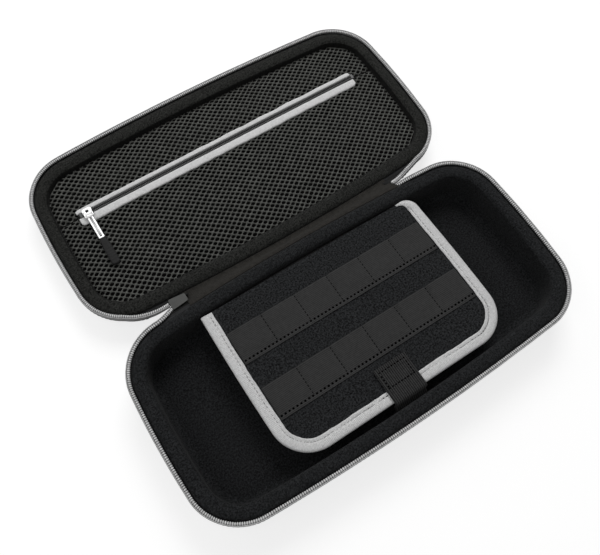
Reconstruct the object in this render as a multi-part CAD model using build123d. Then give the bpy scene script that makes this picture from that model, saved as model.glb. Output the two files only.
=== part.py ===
from build123d import *
import os
from math import sqrt

# Zipped travel case for a handheld console, lying open: a deep tray with a card flap over it, and a
# shallow lid with a mesh pocket behind it. Millimetres. The origin is under the middle of the tray,
# on the table; +X runs along the case, +Y towards the lid, +Z up.

# Rim outline, shared by tray and lid, measured at the outer edge of the zip
CASE_LENGTH = 297.0
CASE_WIDTH = 149.0
LONG_SIDE_BOW = 6.0
SHORT_SIDE_BOW = 4.6
CORNER_RADIUS = 37.0

# Heights from the table to the tips of the zip teeth, and the hinge between the halves
TRAY_HEIGHT = 32.0
LID_HEIGHT = 20.5
CLOSING_GAP = 0.3
HINGE_SETBACK = 2.9

# Moulded shells and their padded lining
SHELL_WALL = 4.0
SHELL_FLOOR = 3.0
SHELL_DRAFT = 5.0
SHELL_EDGE_RADIUS = 10.0
RIM_DEPTH = 4.5
LINING_GAP = 0.1
LINING_FLOOR = 1.5
LINING_FLOOR_RADIUS = 5.0
LID_FLOOR_SEAM = 1.0
TRAY_PAD_INSET = 13.0
LID_PAD_INSET = 14.0
PAD_DROP = 1.0
PAD_ROUND = 3.2

# Main zip
TAPE_THICKNESS = 0.8
TAPE_LAP = 3.0
TAPE_FOOT_WIDTH = 2.1
TOOTH_SIZE = 2.0
TOOTH_ROUND = 0.8
SEWN_GAP = 0.05
TAIL_LENGTH = 12.0
TAIL_HEIGHT = 4.0
TAIL_GAP = 0.4

# Cloth hinge and the main slider parked at its left end
SPINE_MARGIN = 63.5
SPINE_THICKNESS = 0.9
SPINE_LAP = 2.0
SLIDER_LENGTH = 12.0
SLIDER_WIDTH = 8.0
SLIDER_NECK_WIDTH = 5.6
SLIDER_PLATE = 1.2
SLIDER_THROAT = 2.4
SLIDER_ROUND = 1.2
SLIDER_END_GAP = 0.5
BAIL_BAR = 1.4
BAIL_REACH = 2.4
MAIN_PULL_LENGTH = 16.0
MAIN_PULL_WIDTH = 5.0
MAIN_PULL_THICKNESS = 1.4
MAIN_PULL_ROUND = 1.6
MAIN_PULL_WINDOW_LENGTH = 6.0
MAIN_PULL_WINDOW_WIDTH = 2.0
PIVOT_CLEARANCE = 0.25

# Card flap, held by its hinge tape at the back and by the strap at the front
FLAP_WIDTH = 172.0
FLAP_FRONT_GAP = 6.2
FLAP_BACK_GAP = 1.0
FLAP_DROP = 3.4
FLAP_THICKNESS = 2.4
FLAP_FRONT_RADIUS = 25.0
FLAP_BACK_RADIUS = 3.0
BINDING_WIDTH = 8.5
BINDING_THICKNESS = 0.6
HINGE_TAPE_END_GAP = 3.1
HINGE_TAPE_THICKNESS = 0.8
HINGE_TAPE_DROP = 10.0
HINGE_TAPE_LAP = 10.0

# Card pockets on the flap
POCKETS_PER_STRIP = 6
STRIP_HEIGHT = 22.4
REAR_STRIP_SETBACK = 41.5
FRONT_STRIP_SETBACK = 30.0
STRIP_THICKNESS = 0.6
POCKET_RAISE = 0.5
POCKET_SEAM = 1.2
STRIP_HEM = 2.2

# Closure strap and its hook-and-loop patches
STRAP_WIDTH = 25.0
STRAP_THICKNESS = 1.2
STRAP_REACH = 23.0
STRAP_BEND_RADIUS = 2.6
STRAP_FOOT = 7.0
STRAP_WALL_RUN = 9.0
STRAP_EDGE_GAP = 1.2
PATCH_THICKNESS = 0.7
PATCH_MARGIN = 1.5

# Mesh pocket in the lid, with its own zip
MESH_DROP = 5.5
MESH_THICKNESS = 1.0
POCKET_ZIP_OFFSET = 20.8
POCKET_ZIP_MARGIN = 29.0
COIL_WIDTH = 1.4
COIL_HEIGHT = 1.8
COIL_RISE = 1.1
COIL_GAP = 1.0
COIL_ROUND = 0.45
WELT_THICKNESS = 0.9
WELT_ROUND = 0.4
REAR_WELT_WIDTH = 6.2
FRONT_WELT_WIDTH = 3.6
STOP_LENGTH = 2.0
POCKET_SLIDER_LENGTH = 7.4
POCKET_SLIDER_WIDTH = 6.0
POCKET_SLIDER_PLATE = 1.1
POCKET_SLIDER_ROUND = 1.5
SLIDER_CLEARANCE = 0.3
POST_LENGTH = 2.4
POST_THICKNESS = 0.6
BAIL_ARM = 1.2
PULL_BAR_LENGTH = 20.0
PULL_WIDTH = 4.0
PULL_WIRE = 1.2
PULL_EYE = 3.2
GRIP_LENGTH = 26.0
GRIP_WIDTH = 6.4
GRIP_THICKNESS = 3.0
GRIP_ROUND = 1.2
GRIP_OVERLAP = 3.0

# Places worked out from the sizes above
HINGE_Y = CASE_WIDTH / 2 + HINGE_SETBACK
HINGE_Z = (TRAY_HEIGHT + LID_HEIGHT + CLOSING_GAP) / 2
LID_Y = 2 * HINGE_Y
SHELL_INSET = TAPE_THICKNESS + SEWN_GAP
CAVITY_INSET = SHELL_INSET + SHELL_WALL
PAD_START = SHELL_INSET + TOOTH_SIZE + 2 * SEWN_GAP
FLOOR_TOP = SHELL_FLOOR + LINING_GAP + LINING_FLOOR
SPINE_HALF = CASE_LENGTH / 2 - SPINE_MARGIN
SLIDER_X = -SPINE_HALF - SLIDER_END_GAP - SLIDER_LENGTH / 2
FLAP_TOP = TRAY_HEIGHT - FLAP_DROP
FLAP_UNDER = FLAP_TOP - FLAP_THICKNESS
BINDING_LAP = BINDING_WIDTH - BINDING_THICKNESS
HINGE_TAPE_LENGTH = FLAP_WIDTH - 2 * (BINDING_LAP + HINGE_TAPE_END_GAP)
MESH_TOP = LID_HEIGHT - MESH_DROP
MESH_UNDER = MESH_TOP - MESH_THICKNESS
POCKET_ZIP_Y = LID_Y + POCKET_ZIP_OFFSET
POCKET_ZIP_HALF = CASE_LENGTH / 2 - POCKET_ZIP_MARGIN
COIL_HALF = COIL_GAP / 2 + COIL_WIDTH
COIL_TOP = MESH_TOP + COIL_RISE
WELT_TOP = MESH_TOP + WELT_THICKNESS
POCKET_PIVOT_Y = POCKET_ZIP_Y - POCKET_SLIDER_WIDTH / 2 - SLIDER_CLEARANCE - PULL_EYE / 2
POCKET_PIVOT_Z = WELT_TOP + SLIDER_CLEARANCE + PULL_EYE / 2
POCKET_SLIDER_X = STOP_LENGTH + SLIDER_CLEARANCE + POCKET_SLIDER_LENGTH / 2 - POCKET_ZIP_HALF

# The rim outline is four wide arcs joined by four corner arcs; all insets share their centres
LONG_ARC = (CASE_LENGTH ** 2 / 4 + LONG_SIDE_BOW ** 2) / (2 * LONG_SIDE_BOW)
SHORT_ARC = (CASE_WIDTH ** 2 / 4 + SHORT_SIDE_BOW ** 2) / (2 * SHORT_SIDE_BOW)
LONG_CENTRE = Vector(0, CASE_WIDTH / 2 - LONG_ARC)
SHORT_CENTRE = Vector(CASE_LENGTH / 2 - SHORT_ARC, 0)


def corner_centre():
    """Centre of the corner arc that is tangent to the long side and the short side."""
    long_reach = LONG_ARC - CORNER_RADIUS
    short_reach = SHORT_ARC - CORNER_RADIUS
    across = SHORT_CENTRE - LONG_CENTRE
    along = (long_reach ** 2 - short_reach ** 2 + across.length ** 2) / (2 * across.length)
    aside = sqrt(long_reach ** 2 - along ** 2)
    forward = across.normalized()
    return LONG_CENTRE + forward * along + Vector(forward.Y, -forward.X) * aside


CORNER = corner_centre()
TO_LONG = (CORNER - LONG_CENTRE).normalized()
TO_SHORT = (CORNER - SHORT_CENTRE).normalized()
TO_CORNER = (TO_LONG + TO_SHORT).normalized()


def rim_outline(inset):
    """Face bounded by the rim outline, moved inwards by inset."""
    half_length = CASE_LENGTH / 2 - inset
    half_width = CASE_WIDTH / 2 - inset
    side = LONG_CENTRE + TO_LONG * (LONG_ARC - inset)
    end = SHORT_CENTRE + TO_SHORT * (SHORT_ARC - inset)
    middle = CORNER + TO_CORNER * (CORNER_RADIUS - inset)

    def at(point, sign_x, sign_y):
        return (sign_x * point.X, sign_y * point.Y)

    arcs = []
    for sign in (1, -1):
        arcs.append(ThreePointArc(at(end, sign, -1), (sign * half_length, 0), at(end, sign, 1)))
        arcs.append(ThreePointArc(at(side, -1, sign), (0, sign * half_width), at(side, 1, sign)))
        for other in (1, -1):
            arcs.append(ThreePointArc(at(end, sign, other), at(middle, sign, other), at(side, sign, other)))
    return make_face(arcs)


def rim_y(x, inset):
    """Half-width of the outline on its long side, at x."""
    return LONG_CENTRE.Y + sqrt((LONG_ARC - inset) ** 2 - x ** 2)


# The flap lies between the lining's front and back walls, and its strips and strap follow its edges
FLAP_FRONT = FLAP_FRONT_GAP - rim_y(0, TRAY_PAD_INSET)
FLAP_BACK = rim_y(FLAP_WIDTH / 2, TRAY_PAD_INSET) - FLAP_BACK_GAP
STRAP_END = FLAP_FRONT + STRAP_REACH


def block(x0, x1, y0, y1, z0, z1):
    size = (x1 - x0, y1 - y0, z1 - z0)
    return Pos((x0 + x1) / 2, (y0 + y1) / 2, (z0 + z1) / 2) * Box(*size)


def slab(inset, bottom, top):
    return extrude(Pos(0, 0, bottom) * rim_outline(inset), top - bottom)


def band(outer_inset, inner_inset, bottom, top):
    return slab(outer_inset, bottom, top) - slab(inner_inset, bottom, top)


def dish(inset, bottom, top, rim, edge_radius):
    """Solid with drafted walls and a rounded foot, as wide at the rim as the outline less inset."""
    def drafted(z):
        return Pos(0, 0, z) * rim_outline(inset + SHELL_DRAFT * (1 - z / rim))

    body = loft([drafted(bottom), drafted(top)], ruled=True)
    return fillet(body.edges().group_by(Axis.Z)[0], edge_radius)


def shell(height):
    """Moulded foam shell of one half, open at the top."""
    top = height - RIM_DEPTH
    body = dish(SHELL_INSET, 0, top, top, SHELL_EDGE_RADIUS)
    hollow = dish(CAVITY_INSET, SHELL_FLOOR, top, top, SHELL_EDGE_RADIUS - SHELL_WALL)
    return body - hollow


def liner(height, pad_inset):
    """Padded lining that fills the shell's wall space and rolls over its top edge."""
    shell_top = height - RIM_DEPTH
    pad_top = height - PAD_DROP
    seat = SHELL_FLOOR + LINING_GAP
    inset = CAVITY_INSET + LINING_GAP
    body = dish(inset, seat, shell_top, shell_top, SHELL_EDGE_RADIUS - SHELL_WALL)
    body += slab(inset, shell_top - LINING_GAP, shell_top + LINING_GAP)
    body += slab(PAD_START, shell_top + LINING_GAP, pad_top)
    hollow = slab(pad_inset, FLOOR_TOP, pad_top)
    hollow = fillet(hollow.edges().group_by(Axis.Z)[0], LINING_FLOOR_RADIUS)
    body -= hollow
    return fillet(body.edges().group_by(Axis.Z)[-1], PAD_ROUND)


def lid_lining():
    """The lid's lining in two pieces: the padded wall with its foot, and a flat panel inside the foot."""
    seat = SHELL_FLOOR + LINING_GAP
    foot = LID_PAD_INSET + LINING_FLOOR_RADIUS + LID_FLOOR_SEAM
    wall = liner(LID_HEIGHT, LID_PAD_INSET) - slab(foot, seat, FLOOR_TOP)
    panel = slab(foot + SEWN_GAP, seat, FLOOR_TOP)
    return wall, panel


def tail(start_x, end_x, start_rect, end_rect):
    """Bar between two upright rectangles (y0, y1, z0, z1) that face along X."""
    ends = []
    for x, (y0, y1, z0, z1) in ((start_x, start_rect), (end_x, end_rect)):
        corners = [(x, y0, z0), (x, y1, z0), (x, y1, z1), (x, y0, z1)]
        ends.append(make_face(Polyline(*corners, close=True)))
    return loft(ends, ruled=True)


def zip_half(height):
    """Tape and teeth of one half of the main zip, with the hinge on the +Y side.

    Both run along the rim, leave it near the hinge and slope to the hinge line.
    """
    shell_top = height - RIM_DEPTH
    tape_low = shell_top - TAPE_LAP
    tape_high = height - SEWN_GAP
    tooth_inset = SHELL_INSET
    tape = band(0, TAPE_THICKNESS, tape_low, tape_high)
    foot_top = shell_top + SEWN_GAP + TAPE_THICKNESS
    tape += band(0, TAPE_THICKNESS + TAPE_FOOT_WIDTH, shell_top + SEWN_GAP, foot_top)
    teeth = band(tooth_inset, tooth_inset + TOOTH_SIZE, height - TOOTH_SIZE, height)
    teeth = fillet(teeth.edges().filter_by(GeomType.CIRCLE), TOOTH_ROUND)

    left_end = SLIDER_X - SLIDER_LENGTH / 2 - SLIDER_END_GAP
    right_end = SPINE_HALF + SLIDER_END_GAP
    left_start = left_end - TAIL_LENGTH
    right_start = right_end + TAIL_LENGTH
    opening = block(left_start, right_start, 0, CASE_WIDTH, 0, 2 * height)
    tape -= opening
    teeth -= opening

    end_y = HINGE_Y - TAIL_GAP / 2
    end_z = HINGE_Z - TAIL_GAP
    tape_end = (end_y - TAPE_THICKNESS, end_y, end_z - TAIL_HEIGHT, end_z)
    tooth_y = end_y - TAPE_THICKNESS - SEWN_GAP
    teeth_end = (tooth_y - TOOTH_SIZE, tooth_y, end_z - TOOTH_SIZE, end_z)
    for start_x, end_x in ((left_start, left_end), (right_start, right_end)):
        tape_start = (rim_y(start_x, TAPE_THICKNESS), rim_y(start_x, 0), tape_low, tape_high)
        teeth_start = (rim_y(start_x, tooth_inset + TOOTH_SIZE), rim_y(start_x, tooth_inset),
                       height - TOOTH_SIZE, height)
        tape += tail(start_x, end_x, tape_start, tape_end)
        teeth += tail(start_x, end_x, teeth_start, teeth_end)
    return tape, teeth


def onto_lid(shape):
    """Turn a piece built as for the tray, hinge side at +Y, into the lid's piece."""
    return Pos(0, LID_Y, 0) * mirror(shape, about=Plane.XZ)


def hinge_spine():
    """Cloth strip between the two shells, bowed as their edges are, with a lap on each rim."""
    tray_z = TRAY_HEIGHT - RIM_DEPTH + SEWN_GAP
    lid_z = LID_HEIGHT - RIM_DEPTH + SEWN_GAP

    def section(x):
        tray_y = rim_y(x, SHELL_INSET) + SEWN_GAP
        lid_y = LID_Y - tray_y
        tray_top = tray_z + SPINE_THICKNESS
        lid_top = lid_z + SPINE_THICKNESS
        top = [(tray_y - SPINE_LAP, tray_top), (tray_y + SPINE_THICKNESS, tray_top),
               (lid_y, lid_top), (lid_y + SPINE_LAP, lid_top)]
        under = [(lid_y + SPINE_LAP, lid_z), (lid_y - SPINE_THICKNESS, lid_z),
                 (tray_y, tray_z), (tray_y - SPINE_LAP, tray_z)]
        return make_face(Polyline(*[(x, y, z) for y, z in top + under], close=True))

    return loft([section(x) for x in (-SPINE_HALF, 0, SPINE_HALF)])


def main_slider():
    """Slider of the main zip: two wedge plates on a post, with a bail under the outer plate."""
    wide = SLIDER_WIDTH / 2
    neck = SLIDER_NECK_WIDTH / 2
    half = SLIDER_LENGTH / 2
    wedge = make_face(Polyline((-half, -wide), (half, -neck), (half, neck), (-half, wide), close=True))
    wedge = fillet(wedge.vertices(), SLIDER_ROUND)
    lower = -SLIDER_THROAT / 2 - SLIDER_PLATE
    upper = SLIDER_THROAT / 2
    body = extrude(Pos(0, 0, lower) * wedge, SLIDER_PLATE)
    body += extrude(Pos(0, 0, upper) * wedge, SLIDER_PLATE)
    body += block(-half + SLIDER_ROUND, 0, -SLIDER_PLATE / 2, SLIDER_PLATE / 2, lower, upper)
    body += block(0, half - SLIDER_ROUND, -neck, neck, lower, upper)
    bail_z = lower - BAIL_REACH
    for sign in (-1, 1):
        inner = MAIN_PULL_WIDTH / 2 + PIVOT_CLEARANCE
        arm = block(-BAIL_BAR / 2, BAIL_BAR / 2, inner, inner + BAIL_BAR, bail_z, lower)
        body += arm if sign > 0 else mirror(arm, about=Plane.XZ)
    bar_length = MAIN_PULL_WIDTH + 2 * (PIVOT_CLEARANCE + BAIL_BAR)
    bar = Pos(0, 0, bail_z) * Rot(90, 0, 0) * Cylinder(BAIL_BAR / 2, bar_length)
    return Pos(SLIDER_X, HINGE_Y, main_slider_z()) * (body + bar)


def main_slider_z():
    return HINGE_Z - TAIL_GAP - TOOTH_SIZE / 2


def main_pivot_z():
    return main_slider_z() - SLIDER_THROAT / 2 - SLIDER_PLATE - BAIL_REACH


def main_pull():
    """Flat pull tab that hangs from the bail, with a finger window near its foot."""
    eye = BAIL_BAR / 2 + PIVOT_CLEARANCE
    head = eye + MAIN_PULL_THICKNESS
    foot = -MAIN_PULL_LENGTH
    tab = block(-MAIN_PULL_THICKNESS / 2, MAIN_PULL_THICKNESS / 2,
                -MAIN_PULL_WIDTH / 2, MAIN_PULL_WIDTH / 2, foot, -eye)
    tab = fillet(tab.edges().filter_by(Axis.X).group_by(Axis.Z)[0], MAIN_PULL_ROUND)
    sill = foot + MAIN_PULL_WIDTH / 2
    window = block(-head, head, -MAIN_PULL_WINDOW_WIDTH / 2, MAIN_PULL_WINDOW_WIDTH / 2,
                   sill, sill + MAIN_PULL_WINDOW_LENGTH)
    ring = Rot(90, 0, 0) * Cylinder(head, MAIN_PULL_WIDTH)
    hole = Rot(90, 0, 0) * Cylinder(eye, 2 * MAIN_PULL_WIDTH)
    return Pos(SLIDER_X, HINGE_Y, main_pivot_z()) * (tab - window + ring - hole)


def flap_face(grow):
    """Flap outline, grown outwards on its two sides and its front."""
    half = FLAP_WIDTH / 2 + grow
    front = FLAP_FRONT - grow
    corners = [(-half, front), (half, front), (half, FLAP_BACK), (-half, FLAP_BACK)]
    face = make_face(Polyline(*corners, close=True))
    face = fillet(face.vertices().group_by(Axis.Y)[0], FLAP_FRONT_RADIUS + grow)
    return fillet(face.vertices().group_by(Axis.Y)[-1], FLAP_BACK_RADIUS)


def card_flap():
    return extrude(Pos(0, 0, FLAP_UNDER) * flap_face(0), FLAP_THICKNESS)


def flap_binding():
    """Folded tape over both faces of the flap's sides and front edge."""
    under = FLAP_UNDER - BINDING_THICKNESS
    depth = FLAP_THICKNESS + 2 * BINDING_THICKNESS
    body = extrude(Pos(0, 0, under) * flap_face(BINDING_THICKNESS), depth)
    half = FLAP_WIDTH / 2 - BINDING_LAP
    front = FLAP_FRONT + BINDING_LAP
    corners = [(-half, front), (half, front), (half, CASE_WIDTH), (-half, CASE_WIDTH)]
    inner = make_face(Polyline(*corners, close=True))
    inner = fillet(inner.vertices().group_by(Axis.Y)[0], FLAP_FRONT_RADIUS - BINDING_LAP)
    body -= extrude(Pos(0, 0, under) * inner, depth)
    return body - card_flap()


def flap_hinge_tape():
    """Angle of cloth under the flap's back edge, sewn to the lining's back wall."""
    half = HINGE_TAPE_LENGTH / 2
    top = FLAP_UNDER - SEWN_GAP
    wall = TRAY_PAD_INSET + SEWN_GAP
    lap = slab(wall, top - HINGE_TAPE_THICKNESS, top)
    lap &= block(-half, half, FLAP_BACK - HINGE_TAPE_LAP, CASE_WIDTH, 0, TRAY_HEIGHT)
    leg = band(wall, wall + HINGE_TAPE_THICKNESS, top - HINGE_TAPE_DROP, top)
    leg &= block(-half, half, 0, CASE_WIDTH, 0, TRAY_HEIGHT)
    return lap + leg


def card_strip(front):
    """Elastic strip sewn down along its front hem and between its pockets, which stand up a little."""
    half = FLAP_WIDTH / 2 - BINDING_LAP - SEWN_GAP
    strip = block(-half, half, front, front + STRIP_HEIGHT, FLAP_TOP, FLAP_TOP + STRIP_THICKNESS)
    pitch = 2 * half / POCKETS_PER_STRIP
    for i in range(POCKETS_PER_STRIP):
        left = -half + i * pitch + POCKET_SEAM / 2
        pocket = block(left, left + pitch - POCKET_SEAM, front + STRIP_HEM, front + STRIP_HEIGHT,
                       FLAP_TOP, FLAP_TOP + STRIP_THICKNESS + POCKET_RAISE)
        strip += fillet(pocket.edges().filter_by(Axis.Z), POCKET_SEAM)
    return strip


def closure_strap():
    """Webbing from the flap's top, round its front edge and down to the front wall, where it is sewn."""
    patches = 2 * (PATCH_THICKNESS + SEWN_GAP) + SEWN_GAP
    level = FLAP_TOP + max(patches, BINDING_THICKNESS + STRAP_EDGE_GAP / 2) + STRAP_THICKNESS / 2
    drop_y = FLAP_FRONT - BINDING_THICKNESS - STRAP_EDGE_GAP - STRAP_THICKNESS / 2
    wall_y = -rim_y(STRAP_WIDTH / 2, TRAY_PAD_INSET) + SEWN_GAP + STRAP_THICKNESS / 2
    foot = FLOOR_TOP + STRAP_FOOT
    points = [(0, STRAP_END, level), (0, drop_y, level), (0, drop_y, FLAP_UNDER - STRAP_BEND_RADIUS),
              (0, wall_y, foot + STRAP_WALL_RUN), (0, wall_y, foot)]
    path = FilletPolyline(*points, radius=STRAP_BEND_RADIUS)
    start = Plane(origin=points[0], x_dir=(1, 0, 0), z_dir=(0, -1, 0))
    return sweep(start * Rectangle(STRAP_WIDTH, STRAP_THICKNESS), path)


def patch(bottom):
    half = STRAP_WIDTH / 2 - PATCH_MARGIN
    front = FLAP_FRONT + BINDING_LAP + SEWN_GAP
    pad = block(-half, half, front, STRAP_END - PATCH_MARGIN, bottom, bottom + PATCH_THICKNESS)
    return fillet(pad.edges().filter_by(Axis.Z), PATCH_MARGIN)


def mesh_panels():
    """The two mesh panels of the lid pocket, parted along the zip line and slotted for its coil."""
    sheet = Pos(0, LID_Y, 0) * slab(LID_PAD_INSET + SEWN_GAP, MESH_UNDER, MESH_TOP)
    slot = COIL_HALF + SEWN_GAP
    reach = POCKET_ZIP_HALF + SEWN_GAP
    sheet -= block(-reach, reach, POCKET_ZIP_Y - slot, POCKET_ZIP_Y + slot, 0, LID_HEIGHT)
    wide = CASE_LENGTH
    front = sheet & block(-wide, wide, POCKET_ZIP_Y + SEWN_GAP, LID_Y + CASE_WIDTH, 0, LID_HEIGHT)
    rear = sheet & block(-wide, wide, HINGE_Y, POCKET_ZIP_Y - SEWN_GAP, 0, LID_HEIGHT)
    return front, rear


def welt(side, width):
    """Folded tape beside the pocket zip's coil; side is 1 towards the lid's front, -1 towards the hinge."""
    near = POCKET_ZIP_Y + side * (COIL_HALF + SEWN_GAP)
    far = near + side * width
    half = POCKET_ZIP_HALF
    bar = block(-half, half, min(near, far), max(near, far), MESH_TOP, WELT_TOP)
    return fillet(bar.edges().group_by(Axis.Z)[-1], WELT_ROUND)


def coil(side):
    near = POCKET_ZIP_Y + side * COIL_GAP / 2
    far = near + side * COIL_WIDTH
    half = POCKET_ZIP_HALF - STOP_LENGTH
    bar = block(-half, half, min(near, far), max(near, far), COIL_TOP - COIL_HEIGHT, COIL_TOP)
    return fillet(bar.edges().filter_by(Axis.X), COIL_ROUND)


def end_stops():
    """A stop at each end of the coil, bridging both of its halves."""
    half = POCKET_ZIP_HALF
    stop = block(half - STOP_LENGTH + SEWN_GAP, half, POCKET_ZIP_Y - COIL_HALF, POCKET_ZIP_Y + COIL_HALF,
                 COIL_TOP - COIL_HEIGHT, COIL_TOP)
    return Compound(children=[stop, mirror(stop, about=Plane.YZ)])


def pocket_slider():
    """Slider on the pocket zip: a plate over the coil, one under it, a thin post and a bail bar."""
    x0 = POCKET_SLIDER_X - POCKET_SLIDER_LENGTH / 2
    x1 = x0 + POCKET_SLIDER_LENGTH
    half = POCKET_SLIDER_WIDTH / 2
    top = COIL_TOP + SLIDER_CLEARANCE
    under = min(MESH_UNDER, COIL_TOP - COIL_HEIGHT) - SLIDER_CLEARANCE
    body = block(x0, x1, POCKET_ZIP_Y - half, POCKET_ZIP_Y + half, top, top + POCKET_SLIDER_PLATE)
    body += block(x0, x1, POCKET_ZIP_Y - half, POCKET_ZIP_Y + half, under - POCKET_SLIDER_PLATE, under)
    body = fillet(body.edges().filter_by(Axis.Z), POCKET_SLIDER_ROUND)
    body += block(x0 + POST_LENGTH, x0 + 2 * POST_LENGTH, POCKET_ZIP_Y - POST_THICKNESS / 2,
                  POCKET_ZIP_Y + POST_THICKNESS / 2, under, top)
    inner = PULL_WIDTH / 2 + SLIDER_CLEARANCE
    for low in (POCKET_SLIDER_X - inner - BAIL_ARM, POCKET_SLIDER_X + inner):
        body += block(low, low + BAIL_ARM, POCKET_PIVOT_Y - BAIL_ARM / 2, POCKET_ZIP_Y,
                      top, POCKET_PIVOT_Z + BAIL_ARM / 2)
    bar = Pos(POCKET_SLIDER_X, POCKET_PIVOT_Y, POCKET_PIVOT_Z) * Rot(0, 90, 0)
    return body + bar * Cylinder(BAIL_ARM / 2, 2 * (inner + BAIL_ARM))


def pull_bar():
    """Two wires from an eye on the bail bar to a foot inside the grip."""
    eye = Pos(POCKET_SLIDER_X, POCKET_PIVOT_Y, POCKET_PIVOT_Z) * Rot(0, 90, 0)
    body = eye * Cylinder(PULL_EYE / 2, PULL_WIDTH)
    foot = POCKET_PIVOT_Y - PULL_BAR_LENGTH
    low = POCKET_PIVOT_Z - PULL_WIRE / 2
    for side in (-1, 1):
        left = POCKET_SLIDER_X + side * (PULL_WIDTH - PULL_WIRE) / 2 - PULL_WIRE / 2
        body += block(left, left + PULL_WIRE, foot, POCKET_PIVOT_Y, low, low + PULL_WIRE)
    body += block(POCKET_SLIDER_X - PULL_WIDTH / 2, POCKET_SLIDER_X + PULL_WIDTH / 2,
                  foot, foot + PULL_WIRE, low, low + PULL_WIRE)
    return body - eye * Cylinder(BAIL_ARM / 2 + PIVOT_CLEARANCE, 2 * PULL_WIDTH)


def pull_grip(bar):
    """Soft tab moulded over the foot of the two wires."""
    back = POCKET_PIVOT_Y - PULL_BAR_LENGTH + GRIP_OVERLAP
    low = MESH_TOP + SLIDER_CLEARANCE
    body = block(POCKET_SLIDER_X - GRIP_WIDTH / 2, POCKET_SLIDER_X + GRIP_WIDTH / 2,
                 back - GRIP_LENGTH, back, low, low + GRIP_THICKNESS)
    body = fillet(body.edges(), GRIP_ROUND)
    return body - bar


def build():
    tape, teeth = zip_half(TRAY_HEIGHT)
    lid_tape, lid_teeth = zip_half(LID_HEIGHT)
    lid_wall, lid_panel = lid_lining()
    mesh_front, mesh_rear = mesh_panels()
    bar = pull_bar()
    loop_bottom = FLAP_TOP + SEWN_GAP
    hook_bottom = loop_bottom + PATCH_THICKNESS + SEWN_GAP
    return {
        "tray_shell": shell(TRAY_HEIGHT),
        "tray_liner": liner(TRAY_HEIGHT, TRAY_PAD_INSET),
        "tray_zip_tape": tape,
        "tray_zip_teeth": teeth,
        "card_flap_panel": card_flap(),
        "flap_binding": flap_binding(),
        "flap_hinge_tape": flap_hinge_tape(),
        "card_strip_rear": card_strip(FLAP_BACK - REAR_STRIP_SETBACK),
        "card_strip_front": card_strip(FLAP_FRONT + FRONT_STRIP_SETBACK),
        "closure_strap": closure_strap(),
        "flap_loop_patch": patch(loop_bottom),
        "strap_hook_patch": patch(hook_bottom),
        "hinge_spine": hinge_spine(),
        "main_zip_slider": main_slider(),
        "main_zip_pull": main_pull(),
        "lid_shell": onto_lid(shell(LID_HEIGHT)),
        "lid_liner": onto_lid(lid_wall),
        "lid_floor_panel": onto_lid(lid_panel),
        "lid_zip_tape": onto_lid(lid_tape),
        "lid_zip_teeth": onto_lid(lid_teeth),
        "mesh_panel_front": mesh_front,
        "mesh_panel_rear": mesh_rear,
        "pocket_zip_tape_front": welt(1, FRONT_WELT_WIDTH),
        "pocket_zip_tape_rear": welt(-1, REAR_WELT_WIDTH),
        "pocket_zip_coil_front": coil(1),
        "pocket_zip_coil_rear": coil(-1),
        "pocket_zip_end_stops": end_stops(),
        "pocket_zip_slider": pocket_slider(),
        "pocket_pull_bar": bar,
        "pocket_pull_grip": pull_grip(bar),
    }


os.makedirs("parts", exist_ok=True)
for name, shape in build().items():
    export_step(shape, f"parts/{name}.step")
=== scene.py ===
from math import atan2, cos, pi, radians, sin, sqrt

import bmesh
import bpy
import numpy as np
from mathutils import Matrix, Vector


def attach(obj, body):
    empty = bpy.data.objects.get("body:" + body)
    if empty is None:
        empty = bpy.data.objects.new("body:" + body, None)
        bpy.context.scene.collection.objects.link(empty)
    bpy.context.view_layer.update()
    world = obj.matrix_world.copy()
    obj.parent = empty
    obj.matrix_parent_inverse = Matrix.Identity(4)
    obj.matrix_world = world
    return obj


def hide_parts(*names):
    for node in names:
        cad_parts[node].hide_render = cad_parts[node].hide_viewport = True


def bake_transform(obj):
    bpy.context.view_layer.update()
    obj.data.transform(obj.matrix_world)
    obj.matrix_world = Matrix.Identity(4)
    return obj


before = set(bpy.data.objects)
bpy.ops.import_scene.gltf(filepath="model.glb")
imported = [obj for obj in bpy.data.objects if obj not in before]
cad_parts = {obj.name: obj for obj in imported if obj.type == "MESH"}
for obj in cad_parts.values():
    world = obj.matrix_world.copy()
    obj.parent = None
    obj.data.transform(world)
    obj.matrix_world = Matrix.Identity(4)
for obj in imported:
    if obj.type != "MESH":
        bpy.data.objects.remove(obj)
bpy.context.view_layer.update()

# Sizes repeated from the solids, in millimetres; pieces are made in millimetres and scaled once
MM = 0.001
CASE_LENGTH = 297.0
CASE_WIDTH = 149.0
LONG_SIDE_BOW = 6.0
SHORT_SIDE_BOW = 4.6
CORNER_RADIUS = 37.0
TRAY_HEIGHT = 32.0
LID_HEIGHT = 20.5
HINGE_Y = 77.4
LID_Y = 2 * HINGE_Y
RIM_DEPTH = 4.5
SHELL_INSET = 0.85
PAD_START = 2.95
PAD_DROP = 1.0
TRAY_PAD_INSET = 13.0
LID_PAD_INSET = 14.0
LID_NARROWING = 1.7
FLOOR_TOP = 4.6
FLOOR_ROUND = 5.0
SPINE_HALF = 85.0
ZIP_RIGHT = 85.2
ZIP_LEFT = -98.0
ZIP_END_Y = 77.2
ZIP_END_Z = 26.0
ZIP_SLOPE = 14.0
ZIP_STEP = 0.8
ROOT_INSET = 1.6
ROOT_LIFT = 0.1
UNDER_Y = 75.6
UNDER_Z = 26.2
FLAP_HALF = 86.0
FLAP_FRONT = -55.3
FLAP_BACK = 58.475
FLAP_TOP = 28.6
FLAP_THICKNESS = 2.4
FLAP_RADIUS = 25.0
FLAP_BACK_RADIUS = 8.5
FLAP_SHIFT = 1.2
FLAP_SKEW = 1.7
STRIP_HALF = 78.05
STRIP_HEIGHT = 24.0
STRIP_FRONTS = {"rear": FLAP_BACK - 43.0, "front": FLAP_FRONT + 28.5}
POCKETS = 6
HEM = 2.4
STRAP_END = -32.3
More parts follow.
